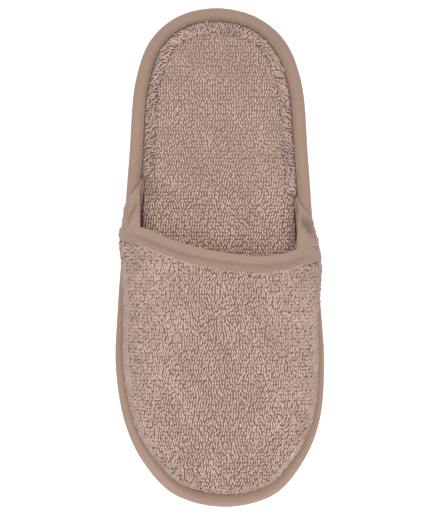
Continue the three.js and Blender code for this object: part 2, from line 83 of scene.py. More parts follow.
def follow(table, column, at):
    keys, values = table[:, 0], table[:, column]
    at = np.asarray(at, float)
    i = np.clip(np.searchsorted(keys, at, "right") - 1, 0, len(keys) - 2)
    span = keys[i + 1] - keys[i]
    share = np.clip((at - keys[i]) / span, 0, 1)
    before, after = np.maximum(i - 1, 0), np.minimum(i + 2, len(keys) - 1)
    slopeIn = (values[i + 1] - values[before]) / (keys[i + 1] - keys[before]) * span
    slopeOut = (values[after] - values[i]) / (keys[after] - keys[i]) * span
    s2, s3 = share**2, share**3
    return ((2 * s3 - 3 * s2 + 1) * values[i] + (s3 - 2 * s2 + share) * slopeIn
            + (3 * s2 - 2 * s3) * values[i + 1] + (s3 - s2) * slopeOut)


def smooth(value, low, high):
    t = np.clip((np.asarray(value, float) - low) / (high - low), 0, 1)
    return t * t * (3 - 2 * t)


def mix(a, b, share):
    return a + (b - a) * share


def stationY(along):
    return shoe["length"] * (0.5 - along)


def traceOutline():
    half = shoe["ballWidth"] / 2
    lateral = [(-row[1] * half, stationY(row[0])) for row in outlineTable]
    medial = [(row[2] * half, stationY(row[0])) for row in outlineTable[::-1]]
    points = np.array([(heelTip * half, stationY(0)), *lateral, (toeTip * half, stationY(1)), *medial])
    count, fine, line = len(points), np.linspace(0, 1, 200, endpoint=False), []
    for i in range(count):
        p0, p1, p2, p3 = (points[(i + k) % count] for k in (-1, 0, 1, 2))
        d0, d1, d2 = (math.sqrt(math.dist(a, b)) for a, b in ((p0, p1), (p1, p2), (p2, p3)))
        t1 = ((p1 - p0) / d0 - (p2 - p0) / (d0 + d1) + (p2 - p1) / d1) * d1
        t2 = ((p2 - p1) / d1 - (p3 - p1) / (d1 + d2) + (p3 - p2) / d2) * d1
        t = fine[:, None]
        line.append(p1 + t1 * t + (-3 * p1 + 3 * p2 - 2 * t1 - t2) * t**2
                    + (2 * p1 - 2 * p2 + t1 + t2) * t**3)
    line = np.vstack([*line, points[:1]])
    return line, np.concatenate([[0], np.cumsum(np.linalg.norm(np.diff(line, axis=0), axis=1))])


outlineLine, outlineRun = traceOutline()
outlineLength = outlineRun[-1]


def onOutline(share, inset, z):
    def place(s):
        run = np.mod(s, 1) * outlineLength
        return np.stack([np.interp(run, outlineRun, outlineLine[:, k]) for k in (0, 1)], -1)
    share, inset, z = np.broadcast_arrays(*(np.asarray(v, float) for v in (share, inset, z)))
    tangent = place(share + 3e-4) - place(share - 3e-4)
    tangent /= np.linalg.norm(tangent, axis=-1, keepdims=True)
    at = place(share)
    return np.stack([at[..., 0] - tangent[..., 1] * inset, at[..., 1] + tangent[..., 0] * inset, z], -1)


def shareAt(distance, low, high):
    shares = np.linspace(low, high, 4000)
    return shares[np.argmin(np.abs(onOutline(shares, 0, 0)[:, 1] - stationY(distance / shoe["length"])))]


lateralTip = shareAt(shoe["lateralWing"], 0.02, 0.48)
medialTip = shareAt(shoe["medialWing"], 0.52, 0.98)
seamLength = (medialTip - lateralTip) * outlineLength


def seamShare(around):
    return mix(lateralTip, medialTip, around)


def wallPoint(around, rise, out=1, lift=1):
    belt = mix(seamInset, follow(beltTable, 1, around) * seamInset, out)
    top = mix(seamLevel, follow(beltTable, 2, around) * shoe["vampHeight"], lift)
    return onOutline(seamShare(around), belt + (seamInset - belt) * (1 - rise)**2, mix(seamLevel, top, rise))


beltLine = wallPoint(np.linspace(0, 1, 801), 1.0)
toeCapY = stationY(toeCapStart)
beltHalf = len(beltLine) // 2
lateralBelt = beltLine[:beltHalf][beltLine[:beltHalf, 1] >= toeCapY - 2][::-1]
medialBelt = beltLine[beltHalf:][beltLine[beltHalf:, 1] >= toeCapY - 2]


def sectionAt(y):
    sides = [np.stack([np.interp(y, line[:, 1], line[:, k]) for k in (0, 2)], -1)
             for line in (lateralBelt, medialBelt)]
    return sides[0], sides[1], (sides[0][..., 0] + sides[1][..., 0]) / 2


toeCentre = np.array([float(sectionAt(toeCapY)[2]), toeCapY])
toeBelt = beltLine[beltLine[:, 1] <= toeCapY + 2]
toeAngles = np.arctan2(toeBelt[:, 0] - toeCentre[0], toeCentre[1] - toeBelt[:, 1])


def domeForm(x, y):
    lateral, medial, middle = sectionAt(np.maximum(y, toeCapY))
    left = (x < middle)[..., None]
    side = np.where(left, lateral, medial)
    angle = np.arctan2(x - toeCentre[0], toeCentre[1] - y)
    edge = np.stack([np.interp(angle, toeAngles, toeBelt[:, k]) for k in (0, 1, 2)], -1)
    far = np.hypot(edge[..., 0] - toeCentre[0], edge[..., 1] - toeCentre[1])
    capped = y < toeCapY
    reach = np.where(capped, np.hypot(x - toeCentre[0], y - toeCentre[1]) / far,
                     (x - middle) / (side[..., 0] - middle))
    foot = np.where(capped, edge[..., 2], side[..., 1])
    along = 0.5 - y / shoe["length"]
    ridge = follow(ridgeTable, 1, along) * shoe["vampHeight"]
    arch = (1 - np.minimum(np.abs(reach), 1)**domeFlatness)**follow(ridgeTable, 2, along)
    return foot + (ridge - foot) * arch, np.abs(reach)


def domeHeight(x, y):
    return domeForm(x, y)[0]


def throatPlan(over):
    y = stationY(follow(throatTable, 2, over))
    lateral, medial, middle = sectionAt(y)
    swing = follow(throatTable, 1, over)
    side = np.where(swing < 0, lateral[..., 0], medial[..., 0])
    return middle + np.abs(swing) * (side - middle), y


def crossing(low, high, along):
    around = np.linspace(low, high, 8000)
    return around[np.argmin(np.abs(wallPoint(around, 1.0)[:, 1] - stationY(along)))]


lateralCross = crossing(0, 0.4, throatTable[0, 2])
medialCross = crossing(0.6, 1, throatTable[-1, 2])


spokeSteps = 70


# Lines over the vamp from the throat down to the seam, one for each place round the seam.
# On the wings they end on a straight edge from the seam to the throat's corner.
def spokes(around):
    around = np.asarray(around, float)
    lateralSide = around < 0.5
    wing = np.minimum(np.minimum(around / lateralCross, (1 - around) / (1 - medialCross)), 1)
    out, lift, fold = (follow(wingTable, column, wing) for column in (1, 2, 3))
    k = np.linspace(0, 1, spokeSteps + 1)
    wall = wallPoint(around[:, None], k, out[:, None], lift[:, None])
    over = np.clip((around - lateralCross) / (medialCross - lateralCross), 0, 1)
    edgeX, edgeY = throatPlan(over)
    tips = onOutline(np.where(lateralSide, lateralTip, medialTip), seamInset - shoe["wingTipLean"], 0)
    edgeX, edgeY = mix(tips[:, 0], edgeX, wing), mix(tips[:, 1], edgeY, wing)
    heights = [float(domeHeight(*(np.array([v]) for v in throatPlan(c)))[0]) for c in (0.0, 1.0)]
    corner = np.where(lateralSide, *heights)
    drawn = (k * (2 - k))[1:]
    x = mix(wall[:, -1, 0][:, None], edgeX[:, None], drawn)
    y = mix(wall[:, -1, 1][:, None], edgeY[:, None], drawn)
    dome = np.stack([x, y, domeHeight(x, y)], -1)
    swing = np.where(lateralSide, -throatTable[0, 1], throatTable[-1, 1])[:, None]
    power = follow(ridgeTable, 2, np.where(lateralSide, throatTable[0, 2], throatTable[-1, 2]))[:, None]
    arch = ((1 - (1 - (1 - swing) * drawn)**domeFlatness) / (1 - swing**domeFlatness))**power
    beltZ = wall[:, -1, 2][:, None]
    wings = beltZ + (mix(seamLevel, corner, fold)[:, None] - beltZ) * arch
    dome[..., 2] = np.where(wing[:, None] < 1, wings, dome[..., 2])
    line = np.concatenate([wall, dome], 1)[:, ::-1]
    run = np.concatenate([np.zeros((len(line), 1)),
                          np.cumsum(np.linalg.norm(np.diff(line, axis=1), axis=2), 1)], 1)
    return line, run


def alongSpokes(made, distance):
    line, run = made
    out = np.empty((*distance.shape, 3))
    for i in range(len(line)):
        for k in range(3):
            out[i, :, k] = np.interp(distance[i], run[i], line[i, :, k])
    return out


wingReach, levelReach = 20, 5.5


def wingShare(around):
    reach = wingReach / seamLength
    return (1 - smooth(around, 0.8 * lateralCross, lateralCross + reach)
            + smooth(around, medialCross - reach, mix(1, medialCross, 0.8)))


def tapeWidth(around):
    return mix(shoe["throatTapeWidth"], shoe["wingTapeWidth"], wingShare(around))


# Points under the vamp's form, with its normals. Distance and depth have a row for each spoke. The
# way into the wall is level on the wings' belt and below it, where their fold is too tight.
def underForm(around, distance, depth=0):
    here = spokes(around)
    before, after = spokes(np.clip(around - 0.004, 0, 1)), spokes(np.clip(around + 0.004, 0, 1))
    across = alongSpokes(after, distance) - alongSpokes(before, distance)
    down = alongSpokes(here, distance + 1.2) - alongSpokes(here, np.maximum(distance - 1.2, 0))
    normal = np.cross(down, across)
    normal /= np.linalg.norm(normal, axis=-1, keepdims=True) + 1e-9
    belt = here[1][:, spokeSteps][:, None]
    level = wingShare(around)[:, None] * smooth((distance - belt) / levelReach, -1, 0)
    share = seamShare(around)
    outward = (onOutline(share, 0, 0) - onOutline(share, 1, 0))[:, None]
    way = mix(normal, outward, level[..., None])
    way /= np.linalg.norm(way, axis=-1, keepdims=True) + 1e-9
    return alongSpokes(here, distance) - way * np.asarray(depth)[..., None], normal


def slantOf(around):
    edge = alongSpokes(spokes(np.clip(around + 0.004, 0, 1)), np.zeros((len(around), 1)))
    edge = edge - alongSpokes(spokes(np.clip(around - 0.004, 0, 1)), np.zeros((len(around), 1)))
    line = alongSpokes(spokes(around), np.tile([0.0, 4.0], (len(around), 1)))
    down = line[:, 1] - line[:, 0]
    edge = edge[:, 0] / np.linalg.norm(edge[:, 0], axis=1, keepdims=True)
    down /= np.linalg.norm(down, axis=1, keepdims=True)
    return np.maximum(np.linalg.norm(np.cross(edge, down), axis=1), 0.5)


# Slow smooth noise from a few waves, the same at each run.
def ripple(points, size, seed):
    rng = np.random.default_rng(seed)
    waves = rng.normal(size=(9, points.shape[-1])) / size
    return np.sin(points @ waves.T * 2.2 + rng.uniform(0, 6.28, 9)).sum(-1) / 3.2


# The tone attribute carries the painted shade and light given for the piece, and is even where none is given.
def addPiece(name, points, faces, materials, slots=None, shadeTones=None):
    mesh = bpy.data.meshes.new(name)
    mesh.from_pydata((np.asarray(points) / 1000).tolist(), [], faces)
    shadeTones = np.ones(len(points)) if shadeTones is None else np.ascontiguousarray(shadeTones, float).ravel()
    mesh.attributes.new("tone", "FLOAT", "POINT").data.foreach_set("value", shadeTones)
    piece = bpy.data.objects.new(name, mesh)
    bpy.context.scene.collection.objects.link(piece)
    for material in materials:
        mesh.materials.append(material)
    if slots is not None:
        mesh.polygons.foreach_set("material_index", slots)
    mesh.polygons.foreach_set("use_smooth", [True] * len(mesh.polygons))
    mesh.validate()
    return piece


# A wall swept through sections, each an outer and an inner path of as many points.
def sweepWall(name, outer, inner, ring, materials, innerSlot=0, shadeTones=1.0):
    path = np.concatenate([outer, inner[:, ::-1]], 1)
    shadeTones = np.concatenate([np.broadcast_to(shadeTones, outer.shape[:2]), np.ones(inner.shape[:2])], 1)
    bands, size = path.shape[:2]
    count = outer.shape[1]
    faces, slots = [], []
    for i in range(bands if ring else bands - 1):
        here, there = i * size, (i + 1) % bands * size
        for j in range(size):
            k = (j + 1) % size
            faces.append((here + j, there + j, there + k, here + k))
            slots.append(0 if j < count else innerSlot)
    if not ring:
        for start, flip in ((0, False), ((bands - 1) * size, True)):
            for j in range(count - 1):
                face = (start + j, start + j + 1, start + size - 2 - j, start + size - 1 - j)
                faces.append(face[::-1] if flip else face)
                slots.append(0)
    piece = addPiece(name, path.reshape(-1, 3), faces, materials, slots, shadeTones)
    return faceOut(piece)


def faceOut(piece):
    mesh = piece.data
    mesh.calc_loop_triangles()
    at = np.empty(len(mesh.vertices) * 3)
    mesh.vertices.foreach_get("co", at)
    at = at.reshape(-1, 3)
    tris = np.empty(len(mesh.loop_triangles) * 3, int)
    mesh.loop_triangles.foreach_get("vertices", tris)
    a, b, c = (at[tris.reshape(-1, 3)[:, k]] for k in range(3))
    if np.einsum("ij,ij->i", a, np.cross(b, c)).sum() < 0:
        mesh.flip_normals()
    return piece


# A slab through rings of the outline, from its underside to its top.
def addSlab(name, rings, materials, shadeTones=None):
    bands, size = len(rings), len(rings[0])
    faces = []
    for i in range(bands - 1):
        for j in range(size):
            k = (j + 1) % size
            faces.append((i * size + j, i * size + k, (i + 1) * size + k, (i + 1) * size + j))
    faces.append(tuple(range(size))[::-1])
    faces.append(tuple((bands - 1) * size + j for j in range(size)))
    shadeTones = None if shadeTones is None else np.repeat(shadeTones, size)
    return faceOut(addPiece(name, np.concatenate(rings), faces, materials, None, shadeTones))


def linear(r, g, b):
    values = [v / 255 for v in (r, g, b)]
    return [*(v / 12.92 if v <= 0.04045 else ((v + 0.055) / 1.055)**2.4 for v in values), 1]


def newMaterial(name, colour, roughness, sheen=0, sheenTint=(1, 1, 1, 1)):
    material = bpy.data.materials.new(name)
    material.use_nodes = True
    tree = material.node_tree
    shader = tree.nodes["Principled BSDF"]
    shader.inputs["Base Color"].default_value = colour
    shader.inputs["Roughness"].default_value = roughness
    shader.inputs["Specular IOR Level"].default_value = 0.2
    shader.inputs["Sheen Weight"].default_value = sheen
    shader.inputs["Sheen Roughness"].default_value = 0.6
    shader.inputs["Sheen Tint"].default_value = sheenTint
    return material, tree, shader


def addNode(tree, kind, values=(), **settings):
    node = tree.nodes.new(kind)
    for key, value in settings.items():
        setattr(node, key, value)
    for key, value in dict(values).items():
        node.inputs[key].default_value = value
    return node


# Cloth whose tone drifts a little and follows its own tone attribute, which carries painted shade and light, with a
# fine weave as bump.
def clothMaterial(name, colour, weave, depth, sheen, drift=0.08, roughness=0.85):
    material, tree, shader = newMaterial(name, colour, roughness, sheen)
    link = tree.links.new
    coords = addNode(tree, "ShaderNodeTexCoord")
    blotch = addNode(tree, "ShaderNodeTexNoise", {"Scale": 60, "Detail": 3})
    fine = addNode(tree, "ShaderNodeTexNoise", {"Scale": 1800, "Detail": 2})
    total = addNode(tree, "ShaderNodeMath", operation="ADD")
    tone = addNode(tree, "ShaderNodeMapRange",
                   {"From Min": 0.7, "From Max": 1.3, "To Min": 1 - drift, "To Max": 1 + drift})
    own = addNode(tree, "ShaderNodeAttribute", attribute_name="tone")
    toned = addNode(tree, "ShaderNodeMath", operation="MULTIPLY")
    tinted = addNode(tree, "ShaderNodeVectorMath", {0: colour[:3]}, operation="SCALE")
    for noise in (blotch, fine):
        link(coords.outputs["Object"], noise.inputs["Vector"])
    link(blotch.outputs["Fac"], total.inputs[0])
    link(fine.outputs["Fac"], total.inputs[1])
    link(total.outputs[0], tone.inputs["Value"])
    link(tone.outputs[0], toned.inputs[0])
    link(own.outputs["Fac"], toned.inputs[1])
    link(toned.outputs[0], tinted.inputs["Scale"])
    link(tinted.outputs[0], shader.inputs["Base Color"])
    threads = []
    for turn in (0.785, -0.785):
        turned = addNode(tree, "ShaderNodeVectorRotate", {"Angle": turn})
        wave = addNode(tree, "ShaderNodeTexWave", {"Scale": weave, "Distortion": 1.2, "Detail": 1})
        link(coords.outputs["Object"], turned.inputs["Vector"])
        link(turned.outputs[0], wave.inputs["Vector"])
        threads.append(wave)
    woven = addNode(tree, "ShaderNodeMath", operation="MULTIPLY")
    bump = addNode(tree, "ShaderNodeBump", {"Strength": 0.35, "Distance": depth})
    link(threads[0].outputs["Fac"], woven.inputs[0])
    link(threads[1].outputs["Fac"], woven.inputs[1])
    link(woven.outputs[0], bump.inputs["Height"])
    link(bump.outputs[0], shader.inputs["Normal"])
    return material


# Loops are darker at their feet than at their tips, a painted shade low between them, and each has its own tone, which
# also carries the painted light and shade of its patch attribute.
def pileMaterial(name, footShadeColour, tipColour, sheen):
    material, tree, shader = newMaterial(name, tipColour, 0.95, sheen, (1, 0.96, 0.93, 1))
    link = tree.links.new
    rise = addNode(tree, "ShaderNodeAttribute", attribute_name="rise")
    tone = addNode(tree, "ShaderNodeAttribute", attribute_name="tone")
    ramp = addNode(tree, "ShaderNodeMapRange", {"From Min": 0.15, "From Max": 0.85},
                   interpolation_type="SMOOTHSTEP")
    colours = addNode(tree, "ShaderNodeMix", data_type="RGBA")
    colours.inputs[6].default_value = footShadeColour
    colours.inputs[7].default_value = tipColour
    scaled = addNode(tree, "ShaderNodeVectorMath", operation="SCALE")
    link(rise.outputs["Fac"], ramp.inputs["Value"])
    link(ramp.outputs[0], colours.inputs[0])
    link(colours.outputs[2], scaled.inputs[0])
    link(tone.outputs["Fac"], scaled.inputs["Scale"])
    link(scaled.outputs[0], shader.inputs["Base Color"])
    coords = addNode(tree, "ShaderNodeTexCoord")
    fibre = addNode(tree, "ShaderNodeTexNoise", {"Scale": 2600, "Detail": 2})
    bump = addNode(tree, "ShaderNodeBump", {"Strength": 0.5, "Distance": 0.0003})
    link(coords.outputs["Object"], fibre.inputs["Vector"])
    link(fibre.outputs["Fac"], bump.inputs["Height"])
    link(bump.outputs[0], shader.inputs["Normal"])
    return material


# The darker foot colour is a painted shade at the roots of the loops.
pileCloth = pileMaterial("pileLoops", linear(156, 129, 116), linear(207, 181, 170), 0.15)
# The ground cloth under the loops is darker than the loops: a painted shade between them.
shadedGroundCloth = clothMaterial("pileGroundShade", linear(142, 115, 101), 900, 0.0002, 0.1)
liningCloth = clothMaterial("liningCloth", linear(174, 147, 133), 1500, 0.00012, 0.1, 0.04)
tapeCloth = clothMaterial("tapeCloth", linear(161, 134, 119), 1900, 0.0001, 0.1, 0.03)
soleFoam = clothMaterial("soleFoam", linear(155, 131, 117), 700, 0.0004, 0, 0.03, 0.75)
print("materials made")

# Outsole
outsoleSettings = dict(steps=240, edge=0.3)
sharesRound = np.arange(outsoleSettings["steps"]) / outsoleSettings["steps"]
rebate = shoe["soleTape"] + shoe["gap"]
edge = outsoleSettings["edge"]
outsoleLevels = [
    (seamInset + edge, 0), (seamInset + edge * 0.3, edge * 0.3), (seamInset, edge), (seamInset, rebate),
    (shoe["soleTapeRoll"], rebate), (shoe["soleTapeRoll"], shoe["outsoleThick"]),
]
soleSheet = addSlab("soleSheet", [onOutline(sharesRound, inset, z) for inset, z in outsoleLevels], [soleFoam])
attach(soleSheet, "root")
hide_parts("outsole")
print("outsole made")


# From the tape's lift to the lining. The wings are pressed thinner than the rest of the vamp.
def wingDepth(around):
    return mix(shoe["vampWall"] + shoe["throatTapeLift"], 2.1, wingShare(around))


# Foot bed. Its cloth lies a little under the tips of its loops.
def wallCover(share):
    side = np.where(np.mod(share, 1) < 0.5, shoe["lateralWing"], shoe["medialWing"])
    fromHeel = shoe["length"] / 2 - onOutline(share, 0, 0)[..., 1]
    return smooth(fromHeel, side - 8, side - 2)


footBedSettings = dict(sunk=0.9, grooveAt=7, grooveWidth=1.1, grooveDepth=0.25, shoulder=8.6)


def footBedTop(share, fromEdge):
    s = footBedSettings
    cover = wallCover(share)
    low = mix(vampMarginTop, s["shoulder"], cover)
    swell = np.interp(fromEdge / shoe["rounding"], [0, 0.04, 0.2, 0.5, 1, 3], [0, 0.42, 0.76, 0.93, 1, 1.0])
    crown = 0.94 + 0.06 * smooth(fromEdge, shoe["rounding"], 18)
    z = low + (insoleBottom + shoe["insoleThick"] - low) * swell * crown
    groove = s["grooveDepth"] * np.exp(-((fromEdge - s["grooveAt"]) / s["grooveWidth"])**2) * (1 - cover)
    return z - groove


def footBedStart(share):
    around = np.clip((np.mod(share, 1) - lateralTip) / (medialTip - lateralTip), 0, 1)
    return seamInset + wallCover(share) * (wingDepth(around) + shoe["gap"])


bedDistances = [0, 0.36, 0.9, 1.8, 3, 4.2, 5.2, 6, 6.5, 7, 7.5, 8.2, 10, 14, 18]
bedCover = wallCover(sharesRound)
bedMargin = mix(vampMarginTop, insoleMarginTop, bedCover)
bedSide = seamInset + bedCover * (shoe["vampWall"] + shoe["gap"])
bedRings = [
    onOutline(sharesRound, shoe["soleTapeRoll"], insoleBottom),
    onOutline(sharesRound, shoe["soleTapeRoll"], bedMargin),
    onOutline(sharesRound, bedSide, bedMargin - 0.02),
    onOutline(sharesRound, bedSide, mix(bedMargin, seamLevel - 0.2, bedCover) - 0.01),
]
for distance in bedDistances:
    sunk = footBedSettings["sunk"] * min(distance / 1.8, 1)
    bedRings.append(onOutline(sharesRound, footBedStart(sharesRound) + distance,
                              footBedTop(sharesRound, distance) - sunk))
# Painted shade and light in the foot bed's ground: darker out to the groove near its edge, lighter farther in to soften
# the shade between the loops.
bedShadeTones = [1.0] * 4 + [0.85 if distance < 7.4 else 1.1 for distance in bedDistances]
footBed = addSlab("footBed", bedRings, [shadedGroundCloth], bedShadeTones)
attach(footBed, "root")
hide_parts("insole")
print("foot bed made")

# Tape round the sole: a soft roll that is pulled down at its stitched side.
tapeSettings = dict(steps=420, puff=0.3, dip=1.25, toeDip=0.35, pucker=0.1)
tapeShares = np.arange(tapeSettings["steps"]) / tapeSettings["steps"]


def soleTapePath(depth):
    middle = edgeHeight / 2
    roll = shoe["soleTapeRoll"]
    path = [(shoe["soleTapeWidth"], depth)]
    for i in range(13):
        angle = math.pi * (i / 12 - 0.5)
        path.append((depth + (roll - depth) * (1 - math.cos(angle)), middle + (middle - depth) * math.sin(angle)))
    for i in range(1, 9):
        path.append((mix(roll, shoe["soleTapeWidth"], i / 8), edgeHeight - depth))
    return np.array(path)


def soleTapePoints(depth):
    path = soleTapePath(depth)
    inset, z = path[:, 0][None], path[:, 1][None]
    wave = ripple(onOutline(tapeShares, 0, 0)[:, :2], 9, 5)[:, None]
    across = np.clip((inset - 1) / (shoe["soleTapeWidth"] - 1), 0, 1)
    s = tapeSettings
    if depth == 0:
        dip = mix(s["toeDip"], s["dip"], smooth(onOutline(tapeShares, 0, 0)[:, 1], -90, 0))[:, None]
        lift = s["puff"] * np.sin(np.pi * across)**2 - dip * across**3 + s["pucker"] * wave * across
        z = z + np.where(z > edgeHeight / 2, lift, 0)
    return onOutline(tapeShares[:, None], inset, z)


tapeInset = soleTapePath(0)[:, 0]
tapeAlong = onOutline(tapeShares, 0, 0)[:, 1]
heelPart = smooth(tapeAlong, -90, 0)[:, None]
# Painted light and shade on the sole tape: lighter at the toe, darker towards the heel, a darker outer rim, and painted
# shade down its inner side at the heel.
endShading = 0.14 * smooth(-tapeAlong, 95, 130)[:, None] - 0.07 * smooth(tapeAlong, 70, 120)[:, None]
tapeShadeTones = (1.04 + endShading - 0.08 * heelPart - 0.06 * (1 - smooth(tapeInset, 0.2, 1.6))[None]
             - 0.18 * heelPart * smooth(tapeInset, 5.4, shoe["soleTapeWidth"])[None])
soleRoll = sweepWall("soleRoll", soleTapePoints(0), soleTapePoints(shoe["soleTape"] * 0.75), True,
                     [tapeCloth], 0, tapeShadeTones)
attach(soleRoll, "root")
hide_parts("sole_tape")
print("sole tape made")

# Vamp: towelling outside, smooth lining inside.
vampSettings = dict(wingColumns=28, domeColumns=190, rows=70, sunk=0.9, wingSunk=0.6, tuck=1.1)
vampAround = np.concatenate([
    np.linspace(0, lateralCross, vampSettings["wingColumns"], endpoint=False),
    np.linspace(lateralCross, medialCross, vampSettings["domeColumns"], endpoint=False),
    np.linspace(medialCross, 1, vampSettings["wingColumns"] + 1),
])
vampSlant = slantOf(vampAround)
vampRun = spokes(vampAround)[1][:, -1]
tapeSeat = shoe["throatTape"] + shoe["gap"] - shoe["throatTapeLift"]
tapeRoot = (shoe["throatTape"] + shoe["gap"]) / vampSlant
tapeEnd = np.minimum(tapeWidth(vampAround) / vampSlant, vampRun - 1.2)


# The wall round the toe is tucked in over its seam.
def toeTuck(points, normals):
    return (vampSettings["tuck"] * smooth(-points[..., 1], 90, 125) * smooth(1 - normals[..., 2], 0.35, 0.75))[..., None]


def vampFaces():
    share = np.linspace(0, 1, vampSettings["rows"]) ** 0.8
    distance = tapeRoot[:, None] + (vampRun - tapeRoot)[:, None] * share
    width = tapeWidth(vampAround)[:, None]
    swell = smooth(distance * vampSlant[:, None] - width, -1.5, 3)
    lining = (wingDepth(vampAround) - shoe["throatTapeLift"])[:, None]
    sunk = mix(vampSettings["sunk"], vampSettings["wingSunk"], wingShare(vampAround))[:, None]
    outer, normals = underForm(vampAround, distance, mix(tapeSeat + 0.15, sunk, swell))
    outer = outer - normals * toeTuck(outer, normals)
    inner = underForm(vampAround, distance, mix(lining - tapeSeat, lining, swell))[0]
    round_ = seamShare(vampAround)
    rows = [(outer, seamInset + vampSettings["sunk"], seamLevel, vampMarginTop),
            (inner, seamInset + lining[:, 0], seamLevel, vampMarginBottom)]
    made = []
    for face, inset, foot, margin in rows:
        face[:, -1] = onOutline(round_, inset, foot)
        tail = np.stack([onOutline(round_, inset, margin), onOutline(round_, shoe["soleTapeRoll"], margin)], 1)
        made.append(np.concatenate([face, tail], 1))
    return made


vampOuter, vampInner = vampFaces()
vampShell = sweepWall("vampShell", vampOuter, vampInner, False, [shadedGroundCloth, liningCloth], 1)
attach(vampShell, "root")
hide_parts("vamp")
print("vamp made")

# Tape folded over the throat, with a stitched groove near its toe side and a soft fold.
# Its ends go down into the seam. The groove's band is darkened as painted shade. Creases are on the wings: side, share
# of the wing from its tip, share down the tape, their width in each, their lean, depth and darkening, which is painted
# shade in the crease and painted highlight where it is below zero.
throatSettings = dict(puff=0.6, groove=0.7, grooveAt=0.6, grooveWidth=0.2, lip=0.3, pucker=0.1,
                      shade=0.15, tailSteps=5, tailPitch=1.1, tailSink=0.55)
throatCreases = np.array([
    (-1, 0.65, 0.3, 0.09, 0.4, 0.6, 0.8, 0.36), (-1, 0.7, 0.85, 0.12, 0.25, 0, 0.2, 0.12),
    (1, 0.45, 0.4, 0.13, 0.6, 0.15, 0.7, 0.42), (1, 0.62, 0.65, 0.09, 0.35, 0.2, 0.2, 0.28),
    (1, 0.76, 0.15, 0.08, 0.3, 0.1, -0.3, -0.08),
])


def tailSections(section, share, way):
    s = throatSettings
    origin, inward = onOutline(share, 0, 0), onOutline(share, 1, 0) - onOutline(share, 0, 0)
    inset, z = (section - origin) @ inward, section[:, 2]
    made = []
    for k in range(1, s["tailSteps"] + 1):
        shrink = 1 - 0.17 * k
        made.append(onOutline(share + way * k * s["tailPitch"] / outlineLength, 9 + (inset - 9) * shrink,
                              seamLevel + (z - seamLevel) * shrink - s["tailSink"] * k))
    return made


def throatFaces():
    s = throatSettings
    legs = np.linspace(0, 1, 22)
    distance = tapeRoot[:, None] + (tapeEnd - tapeRoot)[:, None] * legs
    full = smooth(tapeEnd - tapeRoot, 2, 7)[:, None]
    wave = ripple(alongSpokes(spokes(vampAround), np.zeros((len(vampAround), 1)))[:, 0], 12, 3)[:, None]
    shape = (s["puff"] * np.sin(np.pi * np.clip(legs / 0.62, 0, 1))
             - s["groove"] * np.exp(-((legs - s["grooveAt"]) / s["grooveWidth"])**2) + s["lip"] * smooth(legs, 0.85, 1))
    plain = 1 - 0.7 * wingShare(vampAround)[:, None]
    lift = shoe["throatTapeLift"] + (shape[None] + s["pucker"] * wave * legs) * full * plain
    lateralPart = vampAround[:, None] < 0.5
    wing = np.where(lateralPart, vampAround[:, None] / lateralCross, (1 - vampAround[:, None]) / (1 - medialCross))
    # Painted shade along the groove's band, fainter on the wings.
    shadeTones = 1 - s["shade"] * np.exp(-((legs - s["grooveAt"] - 0.03) / 0.22)**2) * plain
    for side, at, share, wide, tall, lean, deep, creaseShade in throatCreases:
        off = (wing - at - lean * (legs - share)) / wide
        fold = np.exp(-off**2 - ((legs - share) / tall)**2) * np.where(lateralPart, side < 0, side > 0)
        lift -= deep * fold
        shadeTones -= creaseShade * fold
    bottom = wingDepth(vampAround)[:, None]
    thick = shoe["throatTape"]
    foldTurn = np.pi * np.linspace(0, 1, 11)[1:-1]
    middle, half = bottom / 2 - 0.15, bottom / 2 + 0.15
    foldDistance = (thick * 1.3 * (1 - np.sin(foldTurn)))[None] / vampSlant[:, None]
    foldDepth = middle - half * np.cos(foldTurn)
    innerEnd = np.minimum(tapeWidth(vampAround) / vampSlant, vampRun)
    innerLeg = tapeRoot[:, None] + (innerEnd - tapeRoot)[:, None] * legs
    outerDistance = np.concatenate([distance[:, ::-1], foldDistance, innerLeg], 1)
    outerDepth = np.concatenate([-lift[:, ::-1], foldDepth, np.broadcast_to(bottom, innerLeg.shape)], 1)
    inside = (thick + 0.1) / vampSlant[:, None]
    innerFold = np.broadcast_to(inside, foldDistance.shape)
    innerFoldDepth = mix(thick - 0.3, bottom - thick, np.linspace(0, 1, len(foldTurn))[None])
    innerDistance = np.concatenate([distance[:, ::-1], innerFold, innerLeg], 1)
    innerDepth = np.concatenate([np.full(distance.shape, thick - 0.3), innerFoldDepth,
                                 np.broadcast_to(bottom - thick, innerLeg.shape)], 1)
    made = []
    for face, deep in ((underForm(vampAround, outerDistance, outerDepth)[0], bottom),
                       (underForm(vampAround, innerDistance, innerDepth)[0], bottom - thick * 0.8)):
        foot = onOutline(seamShare(vampAround)[:, None], seamInset + deep, seamLevel - 1.2)
        seamed = np.abs(innerEnd - vampRun) < 0.01
        last = np.where(seamed[:, None, None], foot, face[:, -1:] + (face[:, -1:] - face[:, -2:-1]) * 0.2)
        face = np.concatenate([face, last], 1)
        before = tailSections(face[0], lateralTip, -1)[::-1]
        after = tailSections(face[-1], medialTip, 1)
        made.append(np.stack([*before, *face, *after]))
    shown = np.ones(made[0].shape[:2])
    shown[s["tailSteps"]:-s["tailSteps"], :len(legs)] = shadeTones[:, ::-1]
    return *made, shown


throatOuter, throatInner, throatShadeTones = throatFaces()
throatRoll = sweepWall("throatRoll", throatOuter, throatInner, False, [tapeCloth], 0, throatShadeTones)
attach(throatRoll, "root")
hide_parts("throat_tape")
print("throat tape made")


